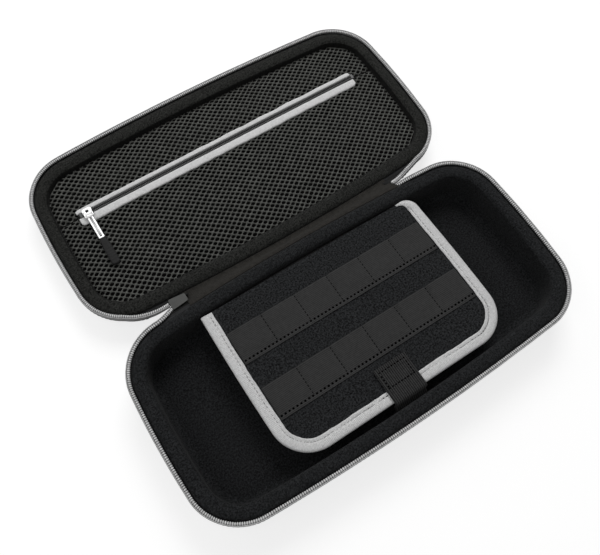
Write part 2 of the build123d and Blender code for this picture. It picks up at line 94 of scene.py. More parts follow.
STRAP_HALF = 12.5
STRAP_THICKNESS = 1.2
STRAP_RIB = 1.45
STRAP_LEVEL = 30.75
STRAP_WALL_Y = -60.8
PATCH_HALF = 11.0
PATCH_FRONT = -47.2
PATCH_BACK = -33.9
PATCH_TOP = 29.45
HINGE_TAPE_HALF = 75.0
MESH_TOP = 15.0
POCKET_ZIP_Y = LID_Y + 20.8
POCKET_ZIP_HALF = 119.5
PULL_X = -113.5
WELT_SHIFT = -1.5
PIVOT_Y = 170.7
PIVOT_Z = 17.8
GRIP_TOP = 153.7
GRIP_END = 127.7
GRIP_LEVEL = 16.85
COIL_LEVEL = 15.45
COIL_TAPE_LEVEL = 14.95
LENGTHWISE = np.array([(0, 1.0, 0), (1.0, 0, 0), (0, 0, 1.0)])


def unit(vectors):
    return vectors / np.linalg.norm(vectors, axis=-1, keepdims=True)


def xyz(x, y, z):
    """Points from coordinates whose shapes go together."""
    return np.stack(np.broadcast_arrays(x, y, z), -1)


def both_sides(top, under):
    """Loops over a sheet's top and back along its under side."""
    return np.concatenate([top, under[:, ::-1]], 1)


def boxed(wave, power):
    """A sine or cosine made squarer, or rounder where power is over 1."""
    return np.sign(wave) * np.abs(wave) ** power


def as_is(points):
    return points


def smooth(t):
    t = np.clip(t, 0, 1)
    return t * t * (3 - 2 * t)


def ripples(seed, u, v, wavelength, terms=8):
    """Smooth random height of about -1 to 1 over two coordinates in millimetres."""
    draw = np.random.RandomState(seed)
    total = 0
    for _ in range(terms):
        angle, phase = draw.uniform(0, 2 * pi, 2)
        k = 2 * pi / (wavelength * draw.uniform(0.7, 1.5))
        total = total + np.sin(k * (cos(angle) * u + sin(angle) * v) + phase)
    return total / sqrt(terms)


# Rim outline: four wide arcs joined by four corner arcs
LONG_ARC = (CASE_LENGTH ** 2 / 4 + LONG_SIDE_BOW ** 2) / (2 * LONG_SIDE_BOW)
SHORT_ARC = (CASE_WIDTH ** 2 / 4 + SHORT_SIDE_BOW ** 2) / (2 * SHORT_SIDE_BOW)


def rim_y(x, inset):
    return CASE_WIDTH / 2 - LONG_ARC + np.sqrt((LONG_ARC - inset) ** 2 - x ** 2)


def rim(count):
    """Evenly spaced points of the outline, their outward normals and their distance along it, clockwise
    from the middle of the hinge side."""
    long_centre = np.array([0, CASE_WIDTH / 2 - LONG_ARC])
    short_centre = np.array([CASE_LENGTH / 2 - SHORT_ARC, 0])
    across = short_centre - long_centre
    span = np.linalg.norm(across)
    reach = LONG_ARC - CORNER_RADIUS
    other = SHORT_ARC - CORNER_RADIUS
    along = (reach ** 2 - other ** 2 + span ** 2) / (2 * span)
    forward = across / span
    aside = np.array([forward[1], -forward[0]])
    corner = long_centre + forward * along + aside * sqrt(reach ** 2 - along ** 2)
    to_long = corner - long_centre
    to_short = corner - short_centre
    turn = atan2(to_long[1], to_long[0])
    settle = atan2(to_short[1], to_short[0])
    points, normals = [], []
    arcs = ((long_centre, LONG_ARC, pi / 2, turn), (corner, CORNER_RADIUS, turn, settle),
            (short_centre, SHORT_ARC, settle, 0))
    for centre, radius, start, end in arcs:
        angles = np.linspace(start, end, max(8, int(radius * abs(end - start) * 8)), endpoint=False)
        out = np.stack([np.cos(angles), np.sin(angles)], 1)
        points.append(centre + radius * out)
        normals.append(out)
    points = np.concatenate(points)
    normals = np.concatenate(normals)
    signs = ((1, 1, 1), (1, -1, -1), (-1, -1, 1), (-1, 1, -1))
    points, normals = (np.concatenate([a[::step] * (sx, sy) for sx, sy, step in signs])
                       for a in (points, normals))
    steps = np.linalg.norm(np.roll(points, -1, 0) - points, axis=1)
    reached = np.concatenate([[0], np.cumsum(steps)])
    wanted = np.linspace(0, reached[-1], count, endpoint=False)
    closed = [np.concatenate([a, a[:1]]) for a in (points, normals)]
    points, normals = (at(wanted, reached, a) for a in closed)
    return points, unit(normals), np.append(wanted, reached[-1])


def to_lid(points):
    """Tray places, hinge side at +Y, turned into the lid's."""
    return points * (1, -1, 1) + (0, LID_Y, 0)


class Piece:
    """Collects surfaces in millimetres and makes one mesh object of them."""

    def __init__(self):
        self.verts, self.faces, self.weave, self.paint = [], [], [], []
        self.total = 0

    def add(self, verts, faces, weave=None, paint=0):
        first = self.total
        self.verts.append(np.asarray(verts, float).reshape(-1, 3))
        self.total += len(self.verts[-1])
        self.faces += [tuple(int(i) + first for i in face) for face in faces]
        corners = sum(len(face) for face in faces)
        self.weave.append(np.zeros((corners, 2)) if weave is None else np.asarray(weave).reshape(-1, 2))
        paints = [paint] * len(faces) if np.isscalar(paint) else list(paint)
        self.paint += paints
        return first

    def grid(self, points, u, v, closed_u=False, closed_v=False, paint=0):
        """Quads over a (rows, columns, 3) array; u and v give the cloth's own millimetres, and paint the
        material of all of it or of each column of faces."""
        rows, columns = points.shape[:2]
        steps = np.arange(rows - (not closed_u)), np.arange(columns - (not closed_v))
        i, j = np.meshgrid(*steps, indexing="ij")
        corner_i = np.stack([i, i + 1, i + 1, i], -1)
        corner_j = np.stack([j, j, j + 1, j + 1], -1)
        quads = (corner_i % rows) * columns + corner_j % columns
        weave = np.stack([np.asarray(u)[corner_i], np.asarray(v)[corner_j]], -1)
        if not np.isscalar(paint):
            paint = np.asarray(paint)[j].ravel().tolist()
        return self.add(points, quads.reshape(-1, 4).tolist(), weave, paint)

    def cap(self, first, indices, paint=0):
        self.faces.append(tuple(first + int(i) for i in indices))
        self.weave.append(np.zeros((len(indices), 2)))
        self.paint.append(paint)

    def tube(self, loops, u, v, paint=0):
        """Closed skin through a (rows, columns, 3) array of loops, with both ends capped."""
        rows, columns = loops.shape[:2]
        first = self.grid(loops, u, v, closed_v=True, paint=paint)
        self.cap(first, np.arange(columns), paint)
        self.cap(first, (rows - 1) * columns + np.arange(columns), paint)

    def stamp(self, template, origins, bases, paint=0):
        """Copies of a small shape; a basis, one for all or one each, has X, Y and Z directions as rows."""
        verts, faces = template
        for origin, basis in zip(origins, np.broadcast_to(bases, (len(origins), 3, 3))):
            self.add(verts @ basis + origin, faces, paint=paint)

    def build(self, name, materials, body, replaces=(), merge=0.0, place=None):
        mesh = bpy.data.meshes.new(name)
        verts = np.concatenate(self.verts)
        verts = place(verts) if place else verts
        mesh.from_pydata((verts * MM).tolist(), [], self.faces)
        flat = np.concatenate(self.weave)
        weave = np.zeros((len(flat), 3), np.float32)
        weave[:, :2] = flat * MM
        mesh.attributes.new("weave", "FLOAT_VECTOR", "CORNER").data.foreach_set("vector", weave.ravel())
        mesh.polygons.foreach_set("material_index", self.paint)
        mesh.polygons.foreach_set("use_smooth", [True] * len(self.faces))
        for material in materials:
            mesh.materials.append(material)
        tidy = bmesh.new()
        tidy.from_mesh(mesh)
        if merge:
            bmesh.ops.remove_doubles(tidy, verts=tidy.verts, dist=merge * MM)
        bmesh.ops.recalc_face_normals(tidy, faces=tidy.faces)
        tidy.to_mesh(mesh)
        tidy.free()
        obj = bpy.data.objects.new(name, mesh)
        bpy.context.scene.collection.objects.link(obj)
        if body:
            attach(obj, body)
        if replaces:
            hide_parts(*replaces)
        return obj


def bead(length, width, height, rings=5, sides=8):
    """Small rounded bar along X: points and faces."""
    verts, faces = [], []
    for x in np.linspace(-1, 1, rings):
        scale = 0.45 + 0.55 * (1 - abs(x) ** 3)
        for k in range(sides):
            angle = 2 * pi * k / sides
            verts.append((x * length / 2, scale * width / 2 * cos(angle), scale * height / 2 * sin(angle)))
    for r in range(rings - 1):
        for k in range(sides):
            n = (k + 1) % sides
            faces.append((r * sides + k, (r + 1) * sides + k, (r + 1) * sides + n, r * sides + n))
    faces.append(tuple(range(sides)))
    faces.append(tuple((rings - 1) * sides + k for k in range(sides)))
    return np.array(verts), faces


def lengths(points):
    """Distance along a line of points, from 0."""
    return np.concatenate([[0], np.cumsum(np.linalg.norm(np.diff(points, axis=0), axis=1))])


def girth(outline):
    """Distance round a closed outline, from 0 to its full length."""
    return lengths(np.concatenate([outline, outline[:1]]))


def at(distances, along, line):
    """Points of a line at distances along it."""
    return np.stack([np.interp(distances, along, column) for column in line.T], 1)


def resample(points, step):
    """Points about step apart along a line."""
    reached = lengths(points)
    return at(np.linspace(0, reached[-1], int(reached[-1] / step) + 1), reached, points)


def frames(line):
    """Unit tangents of a line, level directions to the right of it, and both with straight up as bases."""
    tangents = unit(np.gradient(line, axis=0))
    right = unit(xyz(tangents[:, 1], -tangents[:, 0], 0))
    return tangents, right, np.stack([tangents, right, np.tile((0, 0, 1.0), (len(line), 1))], 1)


# Materials
COOL = (0.95, 0.995, 1.05)
OLIVE = (1.0, 1.02, 0.95)
WARM = (1.06, 1.0, 0.9)
PLAIN = (1, 1, 1)


def grey(level, tint):
    """Linear colour of an sRGB level of 0 to 255, with a slight tint."""
    c = level / 255
    c = c / 12.92 if c <= 0.04045 else ((c + 0.055) / 1.055) ** 2.4
    return tuple(c * t for t in tint)


class Nodes:
    """Short calls for the nodes of a material or of the world."""

    def __init__(self, owner):
        owner.use_nodes = True
        self.tree = owner.node_tree

    def node(self, kind, **values):
        node = self.tree.nodes.new(kind)
        for key, value in values.items():
            setattr(node, key, value)
        return node

    def link(self, output, node_input):
        self.tree.links.new(output, node_input)

    def put(self, node, values):
        """Sets constants on a node's own sockets."""
        for name, value in values.items():
            node.inputs[name].default_value = value

    def math(self, operation, *values):
        node = self.node("ShaderNodeMath", operation=operation)
        for value, socket in zip(values, node.inputs):
            if isinstance(value, (int, float)):
                socket.default_value = value
            else:
                self.link(value, socket)
        return node.outputs[0]

    def seen(self, share, rest):
        """Rest, plus share where the camera sees the surface, also by way of gloss or glass."""
        path = self.node("ShaderNodeLightPath").outputs
        mirrored = self.math("MAXIMUM", path["Is Glossy Ray"], path["Is Transmission Ray"])
        return self.math("MULTIPLY_ADD", self.math("MAXIMUM", path["Is Camera Ray"], mirrored), share, rest)


class Paint(Nodes):
    """One node material."""

    def __init__(self, name):
        self.material = bpy.data.materials.new(name)
        super().__init__(self.material)
        self.shader = self.tree.nodes["Principled BSDF"]
        self.heights = []

    def noise(self, size, detail=2.0, rough=0.6):
        """Noise over the object's own space, with features about size millimetres wide."""
        place = self.node("ShaderNodeTexCoord")
        noise = self.node("ShaderNodeTexNoise")
        self.put(noise, {"Scale": 1 / (size * MM), "Detail": detail, "Roughness": rough})
        self.link(place.outputs["Object"], noise.inputs["Vector"])
        return noise.outputs["Fac"]

    def ribs(self, pitch, axis):
        """Wave from 0 to 1 along the cloth's u or v, one per pitch in millimetres."""
        weave = self.node("ShaderNodeAttribute", attribute_name="weave")
        apart = self.node("ShaderNodeSeparateXYZ")
        self.link(weave.outputs["Vector"], apart.inputs[0])
        turns = self.math("MULTIPLY", apart.outputs[axis], 2 * pi / (pitch * MM))
        return self.math("MULTIPLY_ADD", self.math("SINE", turns), 0.5, 0.5)

    def colour(self, level, tint, down, up, factor, low=0.3, high=0.7):
        """Base colour from level times down, where factor is low, to level times up, where it is high."""
        ramp = self.node("ShaderNodeValToRGB")
        for element, position, share in zip(ramp.color_ramp.elements, (low, high), (down, up)):
            element.position = position
            element.color = (*grey(min(255, level * share), tint), 1)
        self.link(factor, ramp.inputs["Fac"])
        self.link(ramp.outputs["Color"], self.shader.inputs["Base Color"])

    def bump(self, height, depth, strength=1.0):
        """Adds a height, depth millimetres tall, to the surface."""
        bump = self.node("ShaderNodeBump")
        self.put(bump, {"Strength": strength, "Distance": depth * MM})
        self.link(height, bump.inputs["Height"])
        if self.heights:
            self.link(self.heights[-1], bump.inputs["Normal"])
        self.heights.append(bump.outputs["Normal"])
        target = self.shader.inputs["Normal"]
        for old in list(target.links):
            self.tree.links.remove(old)
        self.link(bump.outputs["Normal"], target)

    def finish(self, roughness, sheen=0.0, metallic=0.0, specular=0.5):
        self.put(self.shader, {"Roughness": roughness, "Metallic": metallic, "Specular IOR Level": specular,
                               "Sheen Weight": sheen, "Sheen Roughness": 0.6})
        return self.material


def pile(name, level, tint, spread=0.6, ribs=None, fuzz=0.45, grain=1.15):
    """Short soft pile or fleece: mottled, fuzzy and dull, with knitted ribs where they are given."""
    paint = Paint(name)
    mottle = paint.noise(grain, 4.0, 0.75)
    paint.colour(level, tint, 1 - spread, 1 + spread, mottle, 0.38, 0.62)
    if ribs:
        paint.bump(paint.ribs(ribs, 0), 0.15, 0.8)
    paint.bump(paint.noise(0.8, 3.0, 0.7), fuzz, 1.0)
    return paint.finish(0.95, sheen=0.03, specular=0.04)


def woven(name, level, tint, pitch, spread=0.18, depth=0.15, rough=0.85, warp=None, groove=0.0, grain=2.5):
    """Woven cloth or tape with a rib across it and a thread along it; groove is how much of the change of
    colour, which is about grain millimetres wide, comes from painted shade in the furrows between those
    threads and painted light on their crests."""
    paint = Paint(name)
    threads = paint.ribs(warp or pitch * 0.8, 1)
    mottle = paint.noise(grain, 5.0, 0.75)
    # Painted shade in the furrows between threads and painted light on their crests, over the random mottle
    shade = paint.math("MULTIPLY_ADD", paint.math("SUBTRACT", threads, 0.5), groove, mottle)
    paint.colour(level, tint, 1 - spread, 1 + spread, shade)
    paint.bump(paint.ribs(pitch, 0), depth, 0.8)
    paint.bump(threads, depth * 0.7, 0.6)
    paint.bump(paint.noise(0.5, 2.0), depth * 0.5, 0.5)
    return paint.finish(rough, sheen=0.015, specular=0.07)


WAVES_PER_UNIT = 3.18


def solid_weave(name, level, tint, pitch, depth):
    """Coarse plain weave over a solid that carries no cloth coordinates."""
    paint = Paint(name)
    place = paint.node("ShaderNodeTexCoord")
    heights = []
    for direction in ("X", "Y", "Z"):
        wave = paint.node("ShaderNodeTexWave", bands_direction=direction)
        paint.put(wave, {"Scale": 1 / (pitch * MM) / WAVES_PER_UNIT, "Distortion": 0.6})
        paint.link(place.outputs["Object"], wave.inputs["Vector"])
        heights.append(wave.outputs["Fac"])
    height = paint.math("MAXIMUM", heights[0], paint.math("MAXIMUM", heights[1], heights[2]))
    paint.colour(level, tint, 0.75, 1.25, paint.noise(6.0, 5.0, 0.7))
    paint.bump(height, depth, 0.8)
    paint.bump(paint.noise(0.6, 2.0), depth * 0.6, 0.5)
    return paint.finish(0.8, sheen=0.05, specular=0.25)


def metal(name, level, roughness, metallic, tint=PLAIN):
    paint = Paint(name)
    paint.colour(level, tint, 0.9, 1.08, paint.noise(4.0, 5.0, 0.7))
    paint.bump(paint.noise(0.8, 4.0), 0.02, 0.4)
    return paint.finish(roughness, metallic=metallic)


def plastic(name, level, roughness, specular=0.5):
    paint = Paint(name)
    paint.colour(level, PLAIN, 0.88, 1.1, paint.noise(3.0, 4.0, 0.7))
    paint.bump(paint.noise(0.4, 2.0), 0.03, 0.5)
    return paint.finish(roughness, specular=specular)


tray_pile = pile("tray_lining", 29, COOL, ribs=1.3)
tray_floor = pile("tray_floor", 26, COOL)
pocket_floor = pile("pocket_lining", 12, OLIVE)
lid_pile = pile("lid_lining", 32, OLIVE, ribs=1.3)
flap_pile = pile("flap_fleece", 28, COOL, spread=0.85)
shell_cloth = solid_weave("shell_cloth", 34, COOL, 0.9, 0.12)
tape_cloth = woven("zip_tape", 182, PLAIN, 0.7, spread=0.1)
# Darker copy of the zip tape for the core between the teeth: painted shade in the gaps between them
tape_shade = woven("zip_gap_shade", 112, PLAIN, 0.7)
dark_tape = woven("dark_tape", 30, PLAIN, 0.7)
binding_cloth = woven("binding_tape", 204, PLAIN, 1.05, spread=0.1, depth=0.12, grain=0.9)
welt_cloth = woven("welt_tape", 206, PLAIN, 0.8, spread=0.07, depth=0.08, grain=1.2)
strip_cloth = woven("card_elastic", 50, PLAIN, 0.9, spread=0.16, depth=0.08, rough=0.75, warp=1.15,
                    groove=0.5)
webbing = woven("strap_webbing", 43, PLAIN, 1.2, spread=0.32, depth=0.12, warp=STRAP_RIB, groove=0.6)
hook_cloth = pile("hook_and_loop", 22, PLAIN, fuzz=0.6)
spine_cloth = woven("spine_cloth", 38, WARM, 1.4, spread=0.25, depth=0.15)
mesh_cloth = woven("air_mesh", 84, OLIVE, 0.6, spread=0.2, depth=0.1)
# Darker pile: the mesh's seam allowance and cords, and painted shade on the lid lining's inner slope and
# wall
seam_and_shade_pile = pile("mesh_seam_and_shade", 16, OLIVE)
zip_plastic = plastic("zip_teeth", 204, 0.4)
coil_plastic = plastic("coil_teeth", 84, 0.5, 0.3)
thread = plastic("sewing_thread", 150, 0.8)
# Near-black: real thread and printed dots, and also the painted shade beside the pocket zip's coil
dark_thread_and_gap_shade = plastic("dark_thread_and_gap_shade", 5, 1.0, 0.0)
silver = metal("bright_metal", 222, 0.4, 0.85)
dull_silver = metal("sunk_metal", 178, 0.55, 0.85)
gunmetal = metal("dark_metal", 44, 0.5, 0.3, OLIVE)
rubber = plastic("soft_grip", 30, 0.7, 0.15)


# Linings: a padded roll over the rim, the wall below it and the floor


def lining(name, height, pad_inset, narrowing, shaded, body, nodes, materials, seed, place):
    """One half's lining; its roll is narrower by narrowing at the short ends, and shaded is how many of its
    strips, counted from the floor up, take the third material, a darker pile that paints the shade on the
    roll's inner slope and the wall below it."""
    points, normals, along = rim(820)
    foot = height - RIM_DEPTH + 0.3
    crest = height - PAD_DROP
    middle = (PAD_START + pad_inset) / 2
    half = (pad_inset - PAD_START) / 2
    angles = np.linspace(pi, 0, 26)
    fullness = 0.88
    insets = list(middle + half * boxed(np.cos(angles), fullness))
    levels = list(foot + (crest - foot) * np.sin(angles) ** fullness)
    outs = list(np.sin(angles))
    wall_foot = FLOOR_TOP + FLOOR_ROUND
    for z in np.linspace(foot, wall_foot, 8)[1:]:
        insets.append(pad_inset)
        levels.append(z)
        outs.append(0.35)
    for angle in np.linspace(0, pi / 2, 7)[1:]:
        insets.append(pad_inset + FLOOR_ROUND * (1 - cos(angle)))
        levels.append(wall_foot - FLOOR_ROUND * sin(angle))
        outs.append(0.1)
    insets, levels, outs = (np.array(a) for a in (insets, levels, outs))
    across = lengths(np.stack([insets, levels], 1))
    s, v = np.meshgrid(along[:-1], across, indexing="ij")
    swell = 0.22 * ripples(seed, s, v, 26) + 0.1 * ripples(seed + 1, s, v, 7)
    corner = np.abs(normals[:, 0] * normals[:, 1]) * 2
    gathers = 0.16 * np.sin(2 * pi * s / 6.5 + ripples(seed + 2, s, v, 30)) * corner[:, None]
    drop = outs[None] * (swell + gathers * (v > 9))
    ring = np.zeros((len(points), len(insets), 3))
    narrower = narrowing * normals[:, :1] ** 2 * (insets[None] - PAD_START) / (pad_inset - PAD_START)
    ring[..., :2] = points[:, None] - (insets[None] - narrower + 0.3 * drop)[..., None] * normals[:, None]
    ring[..., 2] = levels[None] + drop
    piece = Piece()
    strips = len(insets) - 1
    piece.grid(place(ring), along, across, closed_u=True, paint=[0] * (strips - shaded) + [2] * shaded)
    floor_ring = ring[:, -1]
    rings = 16
    shrink = np.linspace(1, 0.03, rings)
    floor = floor_ring[:, None] * xyz(shrink, shrink, 1)
    ease = smooth((1 - shrink) / 0.15)
    floor[..., 2] = FLOOR_TOP + 0.3 * ease * ripples(seed + 3, floor[..., 0], floor[..., 1], 45)
    floor[:, 0] = floor_ring
    first = piece.grid(place(floor), along, across[-1] + 60 * (1 - shrink), closed_u=True, paint=1)
    piece.cap(first, np.arange(len(points)) * rings + rings - 1, paint=1)
    obj = piece.build(name, materials, body, nodes, merge=0.01)


lining("tray_lining", TRAY_HEIGHT, TRAY_PAD_INSET, narrowing=0, shaded=0, body="tray", nodes=["tray_liner"],
       materials=[tray_pile, tray_floor], seed=11, place=as_is)
# The lid's lowest strips take the darker pile: painted shade on the roll's inner slope, its wall and the
# floor round
lining("lid_lining", LID_HEIGHT, LID_PAD_INSET, narrowing=LID_NARROWING, shaded=18, body="lid",
       nodes=["lid_liner", "lid_floor_panel"], materials=[lid_pile, pocket_floor, seam_and_shade_pile], seed=21,
       place=to_lid)


# Main zip: tape and separate teeth along each rim, with tails that slope to the hinge line


def zip_line(height, tail, haste, right_end):
    """Line of one half's zip, and the line of the shell's edge beside it; near each end, over the length of
    a tail, the zip leaves the rim and slopes to the hinge line."""
    points, normals, _ = rim(4000)
    x, y = points.T
    first = int(np.argmax((y > 0) & (x > ZIP_RIGHT)))
    last = len(points) - int(np.argmax(((y > 0) & (x < ZIP_LEFT))[::-1]))
    points, normals = points[first:last], normals[first:last]
    level = np.full(last - first, height)
    line = np.column_stack([points, level])
    root = np.column_stack([points - ROOT_INSET * normals, level - RIM_DEPTH + ROOT_LIFT])
    to_end = np.where(line[:, 0] > 0, line[:, 0] - ZIP_RIGHT, ZIP_LEFT - line[:, 0])
    hinge_side = line[:, 1] > 0
    aside = (np.clip(1 - to_end / tail, 0, 1) * hinge_side) ** haste
    slope = (np.clip(1 - to_end / ZIP_SLOPE, 0, 1) * hinge_side) ** 2
    line[:, 1] += (np.where(line[:, 0] > 0, right_end, ZIP_END_Y) - line[:, 1]) * aside
    line[:, 2] += (ZIP_END_Z - line[:, 2]) * slope
    both = resample(np.column_stack([line, root]), ZIP_STEP)
    return both[:, :3], both[:, 3:]


def gusset(piece, line, root, place, paint):
    """Cloth that closes the space between the zip's tail and the shell's edge."""
    drop = np.array([(0, -0.2, -2.2)])
    loop = np.stack([line + drop, root, root - (0, 0, 0.5), line + drop - (0, 0, 0.5)], 1)
    piece.tube(place(loop), lengths(line), np.array([0, 4.0, 4.5, 8.5, 9.0]), paint)


def main_zip(body, height, place, tail, haste, right_end):
    """Tape and teeth of the zip of one half, which is named after its body."""
    line, root = zip_line(height, tail, haste, right_end)
    inward = frames(line)[1]
    along = lengths(line)
    from_end = np.minimum(along, along[-1] - along)
    depth = 0.55 + 0.45 * smooth(from_end / tail)
    outline = np.array([(0.5, -7.3), (0.05, -4.6), (0.0, -2.5), (0.0, -0.8), (0.12, -0.3), (0.4, -0.1),
                        (0.7, -0.3), (0.8, -0.8), (0.8, -2.5), (0.85, -4.6), (1.25, -7.3)])
    sway = 0.06 * ripples(31, along, 0 * along, 30)
    points = line[:, None] + inward[:, None] * (outline[None, :, :1] + sway[:, None, None])
    points[..., 2] += outline[None, :, 1] * depth[:, None]
    piece = Piece()
    piece.tube(place(points), along, girth(outline))
    rows = int(tail / ZIP_STEP)
    for from_x, to_x, end_y, part in ((SPINE_HALF - 3, ZIP_RIGHT, right_end, slice(None, rows)),
                                      (ZIP_LEFT, 2 - SPINE_HALF, UNDER_Y, slice(-rows, None))):
        x = np.linspace(from_x, to_x, 14)
        under = xyz(x, end_y, UNDER_Z)
        edge = xyz(x, rim_y(x, ROOT_INSET), height - RIM_DEPTH + ROOT_LIFT)
        runs = [(under[:-1], edge[:-1]), (line[part], root[part])]
        if from_x < 0:
            runs = [(line[part], root[part]), (under[1:], edge[1:])]
        gusset(piece, *(np.concatenate(both) for both in zip(*runs)), place, 2)
    unsewn, stitch_pitch, stitch_drop = 16, 3.1, 5.6
    spots = at(np.arange(unsewn, along[-1] - unsewn, stitch_pitch), along, line) - (0, 0, stitch_drop)
    _, right, bases = frames(spots)
    stitch = bead(2.2, 0.4, 0.45, 4, 6)
    piece.stamp(stitch, place(spots + right * 0.16), [turned(b, place) for b in bases], 1)
    tape = piece.build(f"{body}_zip_tape_cloth", [tape_cloth, thread, dark_tape], body,
                       [f"{body}_zip_tape"])

    pitch = 1.5
    spots = at(np.arange(0.5, along[-1] - 0.3, pitch), along, line)
    tangents, right, _ = frames(spots)
    centres = spots + right * 1.85 - (0, 0, 1.0)
    up = np.cross(tangents, right)
    bases = np.stack([right, tangents, np.sign(up[:, 2:]) * up], 1)
    teeth = Piece()
    teeth.stamp(bead(2.1, 1.25, 1.9), place(centres), [turned(b, place) for b in bases])
    # Core inside the row of teeth, in the darker tape copy: painted shade where it shows between the teeth
    core = np.array([(0.95, -1.6), (0.95, -0.5), (2.7, -0.5), (2.7, -1.6)])
    points = line[:, None] + inward[:, None] * core[None, :, :1]
    points[..., 2] += core[None, :, 1]
    teeth.tube(place(points), along, girth(core), 1)
    teeth.build(f"{body}_zip_coil", [zip_plastic, tape_shade], body, [f"{body}_zip_teeth"])


def turned(basis, place):
    """Directions as they are after place, which may mirror them."""
    return place(basis) - place(np.zeros((3, 3)))


main_zip("tray", TRAY_HEIGHT, as_is, tail=14, haste=2.0, right_end=ZIP_END_Y - 3.4)
main_zip("lid", LID_HEIGHT, to_lid, tail=31, haste=1.15, right_end=ZIP_END_Y + 3.0)


# Cloth spine between the halves, which turns with the lid on the real case; here it is built in the open
# pose and given to neither body


def spine():
    x = np.linspace(-SPINE_HALF - 1.4, SPINE_HALF, 173)
    t = np.linspace(0, 1, 25)
    tray_edge = rim_y(x, SHELL_INSET)
    lid_edge = LID_Y - tray_edge
    tray_top = TRAY_HEIGHT - RIM_DEPTH + 0.9
    lid_top = LID_HEIGHT - RIM_DEPTH + 0.9
    handles = [(tray_edge - 1.9, tray_top), (tray_edge + 3.0, tray_top + 0.4),
               (lid_edge - 4.2, lid_top - 1.2), (lid_edge + 1.9, lid_top)]
    weights = [(1 - t) ** 3, 3 * t * (1 - t) ** 2, 3 * t ** 2 * (1 - t), t ** 3]
    y, z = (sum(weight * np.reshape(handle[k], (-1, 1)) for weight, handle in zip(weights, handles))
            for k in (0, 1))
    width = 17
    s, v = np.meshgrid(x, width * t, indexing="ij")
    pucker = np.sin(pi * t) * (0.25 * ripples(41, s, v, 18) + 0.12 * ripples(42, s, 0 * v, 4))
    top = xyz(x[:, None], y, z + pucker)
    thick = 0.8
    across = np.concatenate([width * t, width + width * t + thick, [2 * width + 1]])
    piece = Piece()
    piece.tube(both_sides(top, top - (0, 0, thick)), x, across)
    obj = piece.build("hinge_cloth", [spine_cloth], None, ["hinge_spine"])
    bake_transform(obj)


spine()


# Card flap: padded panel, ribbed binding, elastic card strips, strap


def askew(points):
    """The slack flap as it lies: a little to the right, more so towards its front."""
    ahead = (FLAP_BACK - points[:, 1]) / (FLAP_BACK - FLAP_FRONT)
    return points + np.outer(FLAP_SHIFT + FLAP_SKEW * ahead, (1, 0, 0))


def flap_sag(x, y):
    """How far the panel's top lies above or below its plane."""
    crown = 0.45 * (1 - np.abs(x / FLAP_HALF) ** 4)
    return crown + 0.18 * ripples(51, x, y, 38) - 0.25


def flap_bulge(y):
    """How far the flap's slack sides stand out, on top of their straight line."""
    return 0.9 * np.sin(pi * np.clip((y - FLAP_FRONT) / (FLAP_BACK - FLAP_FRONT), 0, 1))


def flap():
    corner_y = FLAP_FRONT + FLAP_RADIUS
    y = np.concatenate([corner_y - FLAP_RADIUS * np.cos(np.linspace(0, pi / 2, 14))[:-1],
                        np.linspace(corner_y, FLAP_BACK - FLAP_BACK_RADIUS, 42),
                        FLAP_BACK - FLAP_BACK_RADIUS * (1 - np.sin(np.linspace(0, pi / 2, 7)[1:]))])
    into = np.clip(corner_y - y, 0, FLAP_RADIUS)
    back = np.clip(y - FLAP_BACK + FLAP_BACK_RADIUS, 0, FLAP_BACK_RADIUS)
    left = FLAP_HALF - FLAP_RADIUS + np.sqrt(FLAP_RADIUS ** 2 - into ** 2) - 0.2 + flap_bulge(y)
    right = left + np.sqrt(FLAP_BACK_RADIUS ** 2 - back ** 2) - FLAP_BACK_RADIUS
    s = np.linspace(-1, 1, 81)
    x = np.where(s[None] < 0, left[:, None], right[:, None]) * s[None]
    yy = y[:, None]
    edge = np.minimum(1 - np.abs(s)[None], np.minimum(yy - FLAP_FRONT, FLAP_BACK - yy) / FLAP_HALF)
    lift = smooth(edge / 0.05)
    top = xyz(x, yy, FLAP_TOP - 0.35 * (1 - lift) + lift * flap_sag(x, yy))
    under = xyz(x, yy, FLAP_TOP - FLAP_THICKNESS + 0.35 * (1 - lift))
    across = np.append(np.concatenate([FLAP_HALF * s, 2 * FLAP_HALF + FLAP_HALF * s]), 4 * FLAP_HALF)
    piece = Piece()
    piece.tube(both_sides(top, under), y, across)
    obj = piece.build("flap_pad", [flap_pile], "tray", ["card_flap_panel"], place=askew)


def flap_edge(step):
    """Line round the flap's sides and front, from the back left corner to a tail round the back right one,
    with its inward directions."""
    arc = np.linspace(0, pi / 2, 40)
    turn = np.stack([np.cos(arc), np.sin(arc)], 1)
    centre = np.array([FLAP_HALF - FLAP_RADIUS, FLAP_FRONT + FLAP_RADIUS])
    front = centre + FLAP_RADIUS * turn * (1, -1)
    back_centre = np.array([FLAP_HALF - FLAP_BACK_RADIUS, FLAP_BACK - FLAP_BACK_RADIUS])
    back = back_centre + FLAP_BACK_RADIUS * turn
    left_y = np.linspace(FLAP_BACK - 0.3, centre[1], 50)[:-1]
    right_y = np.linspace(centre[1], back_centre[1], 45)[1:-1]
    left, right = (xyz(*side, 0)[:, :2] for side in ((-FLAP_HALF, left_y), (FLAP_HALF, right_y)))
    tail = [(FLAP_HALF - 13, FLAP_BACK - 0.4)]
    x, y = np.concatenate([left, front * (-1, 1), front[::-1], right, back, tail]).T
    line = resample(xyz(x + np.sign(x) * flap_bulge(y), y, 0), step)
    return line, -frames(line)[1]


